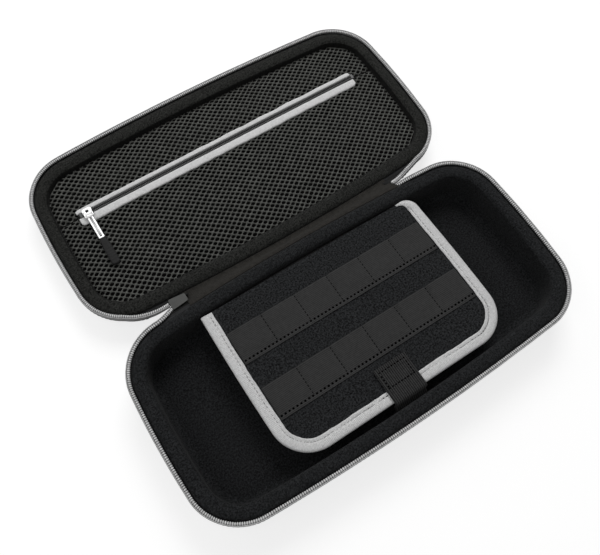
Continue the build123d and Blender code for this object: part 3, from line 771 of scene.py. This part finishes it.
def binding():
    rib = 1.05
    line, inward = flap_edge(rib / 5)
    along = lengths(line)
    zero = 0 * along
    lap = 7.9 + 0.12 * ripples(61, along, zero, 22) + 0.06 * ripples(62, along, zero, 6)
    lap *= 0.15 + 0.85 * smooth((along[-1] - along) / 12)
    ribbed = 0.06 * np.sin(2 * pi * along / rib)
    pucker = 0.16 * np.cos(2 * pi * along / 2.9) + 0.12 * ripples(63, along, zero, 14)
    mid = FLAP_TOP - FLAP_THICKNESS / 2
    shares = (1.0, 0.985, 0.9, 0.78, 0.7, 0.62, 0.5, 0.35, 0.18, 0.05)
    heights = (1.35, 1.78, 1.9, 1.8, 1.5, 1.85, 2.0, 2.0, 1.9, 1.6)
    faces = []
    for side in (1, -1):
        rows = []
        for share, height in zip(shares, heights):
            seam = np.exp(-((share - 0.7) / 0.06) ** 2)
            rows.append((lap * share, side * (height + ribbed + 1.4 * pucker * seam)))
        faces.append(rows)
    nose = [(zero - 0.45, zero + 1.0), (ribbed - 0.62, zero), (zero - 0.45, zero - 1.0)]
    inside = [(lap * 0.985, zero - 1.22), (zero + 0.45, zero - 1.22), (zero + 0.45, zero + 1.22),
              (lap * 0.985, zero + 1.22)]
    outline = faces[0] + nose + faces[1][::-1] + inside
    points = np.stack([line + inward * a[:, None] + xyz(0, 0, mid + b) for a, b in outline], 1)
    half_way = len(line) // 2
    piece = Piece()
    piece.tube(points, along, girth(np.array([(a[half_way], b[half_way]) for a, b in outline])))
    stitch_at = np.arange(3.0, along[-1] - 12, 2.9)
    spots = at(stitch_at, along, line)
    inset = np.interp(stitch_at, along, 0.7 * lap)
    _, right, bases = frames(spots)
    places = spots - right * inset[:, None] + (0, 0, mid + 1.62)
    piece.stamp(bead(1.7, 0.85, 0.5, 4, 6), places, bases, 1)
    obj = piece.build("flap_edge_tape", [binding_cloth, thread], "tray", ["flap_binding"],
                      place=askew)


def strip_bed(x, y):
    """Height of the panel where the card strips press on it."""
    return FLAP_TOP + flap_sag(x, y) * 0.9


def card_strip(which):
    front = STRIP_FRONTS[which]
    x = np.linspace(-STRIP_HALF, STRIP_HALF, 301)
    y = front + np.concatenate([np.linspace(0, 4, 13), np.linspace(4, STRIP_HEIGHT, 24)[1:]])
    pitch = 2 * STRIP_HALF / POCKETS
    xx, yy = np.meshgrid(x, y, indexing="ij")
    seam = np.abs((xx + STRIP_HALF + pitch / 2) % pitch - pitch / 2)
    open_share = smooth(seam / 3.5)
    up = np.clip((yy - front - HEM - 0.6) / (STRIP_HEIGHT - HEM - 0.6), 0, 1)
    hem = np.exp(-((yy - front - HEM) / 0.55) ** 2)
    seed = 71 if which == "rear" else 81
    loose = 0.5 + 0.5 * np.sin(xx * 0.09 + seed)
    lift = open_share * (0.35 * smooth(up / 0.3) + (0.45 + 0.35 * loose) * up ** 2)
    wave = 0.1 * open_share * ripples(seed, xx, yy, 12)
    base = strip_bed(xx, yy)
    z = base + 0.75 + lift + wave - 0.22 * hem - 0.28 * np.exp(-(seam / 0.5) ** 2) * (up > 0)
    under = xyz(xx, yy, np.maximum(base - 0.1, z - 0.7))
    across = np.append(np.concatenate([y - front, STRIP_HEIGHT + y - front]), 2 * STRIP_HEIGHT)
    piece = Piece()
    piece.tube(both_sides(xyz(xx, yy, z), under), x, across)
    dots = np.arange(-STRIP_HALF + 1.5, STRIP_HALF - 1, 2.95)
    spots = xyz(dots, front + HEM, strip_bed(dots, front + HEM) + 0.7)
    piece.stamp(bead(1.5, 1.5, 0.5, 4, 8), spots, np.eye(3), 1)
    for k in range(1, POCKETS):
        seam_x = -STRIP_HALF + k * pitch
        seam_y = np.arange(front + 4.4, front + STRIP_HEIGHT - 1, 2.6)
        spots = xyz(seam_x, seam_y, strip_bed(seam_x, seam_y) + 0.5)
        piece.stamp(bead(1.7, 0.8, 0.4, 4, 6), spots, LENGTHWISE, 1)
    obj = piece.build(f"card_pockets_{which}", [strip_cloth, dark_thread_and_gap_shade], "tray",
                      [f"card_strip_{which}"], place=askew)


def rounded(corners, radius, step):
    """Line through corners in the Y-Z plane, with each corner rounded."""
    line = [np.array(corners[0], float)]
    for before, corner, after in zip(corners, corners[1:], corners[2:]):
        before, corner, after = (np.array(p, float) for p in (before, corner, after))
        into, out = unit(corner - before), unit(after - corner)
        turn = np.arccos(np.clip(into @ out, -1, 1))
        cut = radius * np.tan(turn / 2)
        start, end = corner - into * cut, corner + out * cut
        for t in np.linspace(0, 1, 9):
            line.append((1 - t) ** 2 * start + 2 * t * (1 - t) * corner + t ** 2 * end)
    line.append(np.array(corners[-1], float))
    return resample(np.array(line), step)


def strap_lift(reached, x):
    """How far the strap stands up over what is under it, and over its turned-in end."""
    crown = 0.3 * np.exp(-((reached - 20) / 8) ** 2) * (1 - (x / STRAP_HALF) ** 2)
    return crown, 0.35 * smooth((5.5 - reached) / 0.8)


def strap():
    edge_y = FLAP_FRONT - 2.4
    corners = [(STRAP_END, STRAP_LEVEL), (edge_y, STRAP_LEVEL), (edge_y, 23.6), (STRAP_WALL_Y, 20.6),
               (STRAP_WALL_Y, 11.6)]
    line = rounded(corners, 2.6, 0.5)
    along = lengths(line)
    tangents = unit(np.gradient(line, axis=0))
    outward = np.stack([tangents[:, 1], -tangents[:, 0]], 1)
    x = np.linspace(-STRAP_HALF, STRAP_HALF, 141)
    rib = 0.1 * np.sin(2 * pi * x / STRAP_RIB)
    edge = 1 - 0.5 * smooth((np.abs(x) - STRAP_HALF + 0.9) / 0.9)
    crown, hem = strap_lift(along[:, None], x)
    sides = []
    for side, more in ((1, hem), (-1, 0)):
        height = side * (STRAP_THICKNESS / 2 * edge + rib) + more + crown
        sides.append(xyz(x, *(line[:, k, None] + outward[:, k, None] * height for k in (0, 1))))
    across = np.append(np.concatenate([x, 2 * STRAP_HALF + x]), 4 * STRAP_HALF)
    piece = Piece()
    piece.tube(both_sides(*sides), along, across)
    pitch, box_half, box_front = 2.4, 9.8, -46.8
    across_x = np.arange(-9.6, 9.7, pitch)
    along_y = np.arange(-45.4, STRAP_END - 4, pitch)
    runs = [(across_x, y, np.eye(3)) for y in (STRAP_END - 3, box_front)]
    runs += [(x, along_y, LENGTHWISE) for x in (-box_half, box_half)]
    for x, y, basis in runs:
        height = STRAP_LEVEL + STRAP_THICKNESS / 2 + 0.05 + sum(strap_lift(STRAP_END - y, x))
        piece.stamp(bead(1.6, 0.95, 0.5, 4, 6), xyz(x, y, height), basis, 1)
    obj = piece.build("flap_strap", [webbing, dark_thread_and_gap_shade], "tray", ["closure_strap"],
                      place=askew)


def fastening():
    """Hook and loop patches between strap and flap, seen only from the side."""
    x = np.linspace(-PATCH_HALF, PATCH_HALF, 45)
    y = np.linspace(PATCH_FRONT, PATCH_BACK, 30)
    xx, yy = np.meshgrid(x, y, indexing="ij")
    rim_fade = smooth(np.minimum(PATCH_HALF - np.abs(xx), np.minimum(yy - y[0], y[-1] - yy)) / 0.8)
    nap = 0.06 * ripples(91, xx, yy, 1.6)
    loop = both_sides(xyz(xx, yy, PATCH_TOP + 0.55 * rim_fade + nap), xyz(xx, yy, FLAP_TOP + 0.05))
    piece = Piece()
    piece.tube(loop, x, np.arange(loop.shape[1] + 1) * 0.5)
    piece.build("strap_fastening", [hook_cloth], "tray",
                ["flap_loop_patch", "strap_hook_patch"], place=askew)


def hinge_tape():
    """Cloth angle under the flap's back edge, sewn to the lining's back wall."""
    x = np.linspace(-HINGE_TAPE_HALF, HINGE_TAPE_HALF, 101)
    wall = rim_y(x, TRAY_PAD_INSET + 0.5)
    top = FLAP_TOP - FLAP_THICKNESS - 0.2
    spans = [(-12.4, 0), (-4, 0), (-1.4, 0.1), (-0.3, 0.9), (-0.1, 2.5), (0, 9.8)]
    outer = np.stack([xyz(x, wall + dy, top - drop) for dy, drop in spans], 1)
    inner = outer - [(0, 0, 0.7), (0, 0, 0.7), (0, 0.2, 0.7), (0, 0.6, 0.5), (0, 0.7, 0), (0, 0.7, 0)]
    shake = 0.12 * ripples(95, outer[..., 0], outer[..., 2], 14)
    inner[..., 1] -= np.abs(shake)
    loop = both_sides(outer, inner)
    piece = Piece()
    piece.tube(loop, x, np.arange(loop.shape[1] + 1) * 3.0)
    obj = piece.build("flap_hinge_cloth", [dark_tape], "tray", ["flap_hinge_tape"])


flap()
binding()
card_strip("rear")
card_strip("front")
strap()
fastening()
hinge_tape()


# Lid pocket: air mesh with real holes, and its zip


def mesh_crown(x, y):
    """Height of the stretched mesh above its plane, in the lid's own place."""
    line_y = POCKET_ZIP_Y - LID_Y
    edge = CASE_WIDTH / 2 - LID_PAD_INSET
    rear = np.clip((y + edge) / (line_y + edge), 0, 1)
    ahead = np.clip((y - line_y) / (edge - line_y), 0, 1)
    bulge = np.where(y < line_y, 1.3 * np.sin(pi * rear) - 1.3 * (1 - rear) ** 6,
                     0.5 * np.sin(pi * ahead) - 1.3 * ahead ** 6)
    level = np.clip(1 - np.abs(x / 118) ** 4, 0, 1)
    end = CASE_LENGTH / 2 - LID_PAD_INSET
    beside = np.abs(x) < POCKET_ZIP_HALF + 2
    welts = 0.5 * np.exp(-((y - line_y + 9.5) / 2.5) ** 2) + 0.5 * np.exp(-((y - line_y - 7) / 2.5) ** 2)
    pinch = 1.5 * np.exp(-((y - line_y) / 1.8) ** 2)
    return bulge * level - 1.3 * np.abs(x / end) ** 10 - np.where(beside, welts, pinch)


def inset_of(x, y):
    """How far places lie inside the rim outline, with what the lid's lining is narrower by on top."""
    points, normals, _ = rim(1600)
    best = np.full(x.shape, np.inf)
    depth = np.zeros(x.shape)
    for point, normal in zip(points, normals):
        gap = (x - point[0]) ** 2 + (y - point[1]) ** 2
        near = gap < best
        best = np.where(near, gap, best)
        inside = (point[0] - x) * normal[0] + (point[1] - y) * normal[1]
        depth = np.where(near, inside + LID_NARROWING * normal[0] ** 2, depth)
    return depth


HOLE_X = 5.62
HOLE_Y = 4.22
HOLE_HALVES = (1.7, 1.28)


def mesh_panel(which, side):
    rows = np.arange(-34, 35)
    columns = np.arange(-27, 28)
    j, i = np.meshgrid(rows, columns, indexing="ij")
    x = (HOLE_X * (i + 0.5 * (j % 2))).ravel()
    y = (HOLE_Y / 2 * j).ravel()
    room = np.where(np.abs(x) < POCKET_ZIP_HALF + 1, HOLE_Y / 2, 0)
    kept = (inset_of(x, y) > LID_PAD_INSET + 0.2) & (side * (y - POCKET_ZIP_Y + LID_Y) > room)
    x, y = x[kept], y[kept]
    tips = np.array([(HOLE_X / 2, 0), (0, HOLE_Y / 2), (-HOLE_X / 2, 0), (0, -HOLE_Y / 2)])
    share = np.linspace(0, 1, 3, endpoint=False)[:, None]
    border = np.concatenate([a + (b - a) * share for a, b in zip(tips, np.roll(tips, -1, 0))])
    squareness = 1.7
    reach = (np.abs(border / HOLE_HALVES) ** squareness).sum(1) ** (-1 / squareness)
    hole = border * reach[:, None]
    neck = 0.5 * border + 0.5 * hole
    n = len(border)
    rings = [(border, 0.0), (neck, -0.06), (hole, -0.45), (hole * 1.02, -1.1)]
    cell = np.concatenate([xyz(*ring.T, z) for ring, z in rings])
    quads = [(r * n + k, r * n + (k + 1) % n, (r + 1) * n + (k + 1) % n, (r + 1) * n + k)
             for r in range(len(rings) - 1) for k in range(n)]
    stretch = np.random.RandomState(101).uniform(0.94, 1.06, len(x))
    verts = cell[None] + xyz(x, y, 0)[:, None]
    verts[:, n:] += (stretch - 1)[:, None, None] * (cell[None, n:] * (1, 1, 0))
    verts[..., 0] += 0.25 * ripples(102, verts[..., 0], verts[..., 1], 40)
    verts[..., 1] += 0.25 * ripples(103, verts[..., 0], verts[..., 1], 40)
    verts[..., 2] += MESH_TOP + mesh_crown(verts[..., 0], verts[..., 1])
    verts[..., 1] += LID_Y
    faces = (np.arange(len(x))[:, None, None] * len(cell) + np.array(quads)[None]).reshape(-1, 4)
    flat = verts.reshape(-1, 3)
    piece = Piece()
    piece.add(flat, faces.tolist(), flat[faces][..., :2])
    obj = piece.build(f"pocket_mesh_{which}", [mesh_cloth], "lid", [f"mesh_panel_{which}"],
                      merge=0.02)


def mesh_seam_and_shade():
    """Seam allowance that joins the mesh to the lining, below the roll's inner edge, made dark to paint the
    shade along the mesh's edge; and dark cords on the sewn crease past the pocket zip's ends, a seam that
    also paints the crease's shade.
    """
    points, normals, along = rim(400)
    insets = np.array([LID_PAD_INSET - 0.3, LID_PAD_INSET + 1.2, LID_PAD_INSET + 3.2])
    narrower = LID_NARROWING * normals[:, :1] ** 2
    place = points[:, None] - (insets[None] - narrower)[..., None] * normals[:, None]
    z = MESH_TOP - np.array([1.0, 1.6, 2.2])[None] + mesh_crown(place[..., 0], place[..., 1])
    top = np.concatenate([place, z[..., None]], -1)
    loop = both_sides(top, top - (0, 0, 0.5))
    piece = Piece()
    piece.grid(to_lid(loop), along, np.arange(7) * 1.5, closed_u=True, closed_v=True)
    for side in (-1, 1):
        x = side * np.linspace(POCKET_ZIP_HALF - 1, CASE_LENGTH / 2 - LID_PAD_INSET + 0.5, 24)
        y = POCKET_ZIP_Y + 0.4 * np.sin(x * 0.5)
        z = MESH_TOP + mesh_crown(x, y - LID_Y) + 0.35
        corners = ((-0.6, -0.4), (0, 0), (0.6, -0.4), (0, -0.6))
        ends = np.stack([xyz(x, y + dy, z + dz) for dy, dz in corners], 1)
        piece.tube(ends, np.abs(x), np.arange(5) * 0.7)
    obj = piece.build("pocket_mesh_seam", [seam_and_shade_pile], "lid")


def welt(which, side, width, seed):
    near = side * 1.95
    x = np.linspace(-POCKET_ZIP_HALF, POCKET_ZIP_HALF, 360)
    wavy = 0.18 * ripples(seed, x, 0 * x, 26) + 0.1 * ripples(seed + 1, x, 0 * x, 7)
    shares = np.array([0, 0.02, 0.08, 0.2, 0.5, 0.8, 0.93, 0.985, 1.0])
    heights = np.array([0.05, 0.55, 0.85, 0.95, 1.0, 0.95, 0.8, 0.45, -0.15])
    past_end = np.clip((np.abs(x) - POCKET_ZIP_HALF + 2.5) / 2.5, 0, 1)
    reach = (width + wavy) * (1 - 0.3 * past_end ** 2)
    y = POCKET_ZIP_Y + near + side * reach[:, None] * shares[None]
    xx = x[:, None]
    droop = np.maximum(mesh_crown(xx, y - LID_Y), -0.6) * 0.8
    z = MESH_TOP + heights[None] * 0.95 + droop + 0.06 * ripples(seed + 2, xx, y, 9)
    loop = both_sides(xyz(xx, y, z), xyz(xx, y, MESH_TOP - 0.3))
    piece = Piece()
    piece.tube(loop, x, girth(loop[0, :, 1:]))
    obj = piece.build(f"pocket_welt_{which}", [welt_cloth], "lid",
                      [f"pocket_zip_tape_{which}"], place=lambda p: p + (WELT_SHIFT, 0, 0))


def pocket_coil(which, side):
    pitch = 1.3
    half = POCKET_ZIP_HALF - 2.2
    x = np.arange(-half, half, pitch) + (0 if side > 0 else pitch / 2)
    spots = xyz(x, POCKET_ZIP_Y + side * 1.0, COIL_LEVEL)
    basis = np.array([(0, side * 1.0, 0), (1.0, 0, 0), (0, 0, 1.0)])
    piece = Piece()
    piece.stamp(bead(1.5, 1.15, 1.2, 5, 6), spots, basis)
    # Strip under the coil in the near-black material: painted shade in the gaps between the coil and the
    # welts
    ends = np.linspace(-half, half, 60)
    section = np.array([(0.45, -0.5), (0.45, 0.1), (1.9, 0.25), (1.9, -0.5)])
    points = np.stack([xyz(ends, POCKET_ZIP_Y + side * a, COIL_TAPE_LEVEL + b) for a, b in section], 1)
    piece.tube(points, ends, girth(section), 1)
    piece.build(f"pocket_coil_{which}", [coil_plastic, dark_thread_and_gap_shade], "lid",
                [f"pocket_zip_coil_{which}"])


def pull_grip():
    """Moulded soft tab: narrow where it takes the wires, wider at its end, with cross ridges."""
    y = np.linspace(GRIP_TOP, GRIP_END, 66)
    t = np.linspace(0, 1, len(y))
    half = 2.3 + 0.8 * smooth(t / 0.5)
    tip = np.sqrt(np.clip(1 - ((t - 0.93) / 0.07).clip(0) ** 2, 0.02, 1))
    head = np.sqrt(np.clip(1 - ((0.05 - t) / 0.05).clip(0) ** 2, 0.15, 1))
    ridge = 0.18 * np.maximum(0, np.sin(2 * pi * (t - 0.45) / 0.09)) * ((t > 0.45) & (t < 0.9))
    thick = (1.2 + 0.2 * smooth(t / 0.6)) * head
    angles = np.linspace(0, 2 * pi, 24, endpoint=False)
    square = 0.55
    x = PULL_X + (half * tip * head)[:, None] * boxed(np.cos(angles), square)
    z = GRIP_LEVEL + (thick * tip ** 0.5 + ridge)[:, None] * boxed(np.sin(angles), square)
    piece = Piece()
    piece.tube(xyz(x, y[:, None], z), -y, np.arange(25) * 0.7)
    piece.build("pocket_pull_tab", [rubber], "pocket_pull", ["pocket_pull_grip"])


def squared(half_x, half_y, z):
    """Points of a level rectangle with round corners."""
    angles = np.linspace(0, 2 * pi, 32, endpoint=False)
    square = 0.45
    return xyz(half_x * boxed(np.cos(angles), square), half_y * boxed(np.sin(angles), square), z)


def plate(piece, centre, rings, hollow=False):
    """Closed plate from rings of (half x, half y, z); a hollow one joins its last ring to its first."""
    loops = np.stack([squared(*ring) + (*centre, 0) for ring in rings])
    up, round_it = np.arange(len(rings) + 1), np.arange(loops.shape[1] + 1) * 0.6
    if hollow:
        piece.grid(loops, up, round_it, closed_u=True, closed_v=True)
    else:
        piece.tube(loops, up, round_it)


def small_slider():
    """Pocket zip's slider: a plate with a window over the coil, one below it, a post, and a bail."""
    centre = (PULL_X, POCKET_ZIP_Y)
    piece = Piece()
    plate(piece, centre, [(3.5, 2.8, 16.4), (3.7, 3.0, 16.6), (3.7, 3.0, 17.2), (3.4, 2.7, 17.5),
                          (1.35, 1.2, 17.5), (1.1, 0.95, 17.3), (1.1, 0.95, 16.4)], hollow=True)
    plate(piece, centre, [(3.5, 2.8, 12.6), (3.7, 3.0, 12.8), (3.7, 3.0, 13.5), (3.5, 2.8, 13.7)])
    plate(piece, (PULL_X - 2.2, POCKET_ZIP_Y), [(0.9, 0.3, 13.6), (0.9, 0.3, 16.5)])
    arms = [(PULL_X + side * 2.9, 172.6, 17.6) for side in (-1, 1)]
    piece.stamp(bead(5.2, 1.2, 1.5, 7, 10), np.array(arms), LENGTHWISE)
    piece.stamp(bead(7.0, 1.2, 1.2, 7, 10), np.array([(PULL_X, PIVOT_Y, PIVOT_Z)]), np.eye(3))
    piece.build("pocket_slider_body", [silver], "pocket_slider", ["pocket_zip_slider"])


def pull_web():
    """Sunk middle of the pull's bar, between its two side rails."""
    piece = Piece()
    plate(piece, (PULL_X, 160.2), [(0.9, 8.6, 17.3), (0.9, 8.6, 17.9)])
    piece.build("pocket_pull_web", [dull_silver], "pocket_pull")


mesh_panel("rear", -1)
mesh_panel("front", 1)
mesh_seam_and_shade()
welt("rear", -1, width=6.2, seed=111)
welt("front", 1, width=3.6, seed=121)
pocket_coil("rear", -1)
pocket_coil("front", 1)
pull_grip()
small_slider()
pull_web()


# Solids that stay: shells, main slider, pulls and stops get materials, the hard ones softened edges too


def dress(node, material, bevel=0.0):
    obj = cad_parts[node]
    obj.data.materials.clear()
    obj.data.materials.append(material)
    if bevel:
        soften = obj.modifiers.new("soft_edges", "BEVEL")
        soften.width = bevel * MM
        soften.segments = 2
        soften.limit_method = "ANGLE"
        soften.angle_limit = radians(40)


dress("tray_shell", shell_cloth)
dress("lid_shell", shell_cloth)
dress("main_zip_slider", gunmetal, 0.7)
dress("main_zip_pull", gunmetal, 0.2)
dress("pocket_pull_bar", silver, 0.15)
dress("pocket_zip_end_stops", coil_plastic, 0.15)


# Floor, light and camera


FLOOR_GLOW = 0.74
SKY_LIGHT = 0.2
SKY_SEEN = 0.62


def floor_and_light():
    half = 6.0
    mesh = bpy.data.meshes.new("floor")
    corners = [(-half, -half, 0), (half, -half, 0), (half, half, 0), (-half, half, 0)]
    mesh.from_pydata(corners, [], [(0, 1, 2, 3)])
    floor = bpy.data.objects.new("floor", mesh)
    floor.location.z = -0.0002
    bpy.context.scene.collection.objects.link(floor)
    paint = Paint("floor")
    paint.put(paint.shader, {"Base Color": (0.35, 0.35, 0.35, 1), "Roughness": 1.0,
                             "Specular IOR Level": 0.0, "Emission Color": (1, 1, 1, 1)})
    paint.link(paint.seen(FLOOR_GLOW, 0.0), paint.shader.inputs["Emission Strength"])
    mesh.materials.append(paint.material)

    world = bpy.data.worlds.new("studio")
    bpy.context.scene.world = world
    sky = Nodes(world)
    background = sky.tree.nodes["Background"]
    sky.put(background, {"Color": (1, 1, 1, 1)})
    sky.link(sky.seen(SKY_SEEN, SKY_LIGHT), background.inputs["Strength"])

    def lamp(name, place, target, size, power):
        light = bpy.data.lights.new(name, "AREA")
        light.shape = "SQUARE"
        light.size = size
        light.energy = power
        obj = bpy.data.objects.new(name, light)
        obj.location = place
        obj.rotation_euler = (Vector(target) - Vector(place)).to_track_quat("-Z", "Y").to_euler()
        bpy.context.scene.collection.objects.link(obj)

    middle = (0, HINGE_Y * MM, 0)
    lamp("key", (0.5, 0.8, 1.15), middle, 0.7, 12)
    lamp("fill", (-0.7, -0.1, 1.2), middle, 1.0, 4)
    lamp("back", (-0.5, 1.2, 0.8), middle, 0.8, 2.5)


def photo_camera():
    """Camera fitted to the photograph: its place, its turn, height and roll, and its focal length."""
    turn, height, roll = radians(-38.42), radians(68.58), radians(6.03)
    back = Vector((sin(turn) * cos(height), -cos(turn) * cos(height), sin(height)))
    right = Vector((cos(turn), sin(turn), 0))
    up = back.cross(right)
    rolled = right * cos(roll) + up * sin(roll)
    upright = up * cos(roll) - right * sin(roll)
    data = bpy.data.cameras.new("photo_camera")
    sensor, photo_width, focal_pixels = 36, 600, 637.86
    data.sensor_width = sensor
    data.lens = focal_pixels / photo_width * sensor
    data.clip_start = 0.01
    camera = bpy.data.objects.new("photo_camera", data)
    basis = Matrix((rolled, upright, back)).transposed().to_4x4()
    eye = Vector((-112.33, -76.24, 432.66))
    basis.translation = eye * MM
    camera.matrix_world = basis
    bpy.context.scene.collection.objects.link(camera)
    bpy.context.scene.camera = camera


floor_and_light()
photo_camera()
bpy.context.scene.view_settings.view_transform = "Standard"
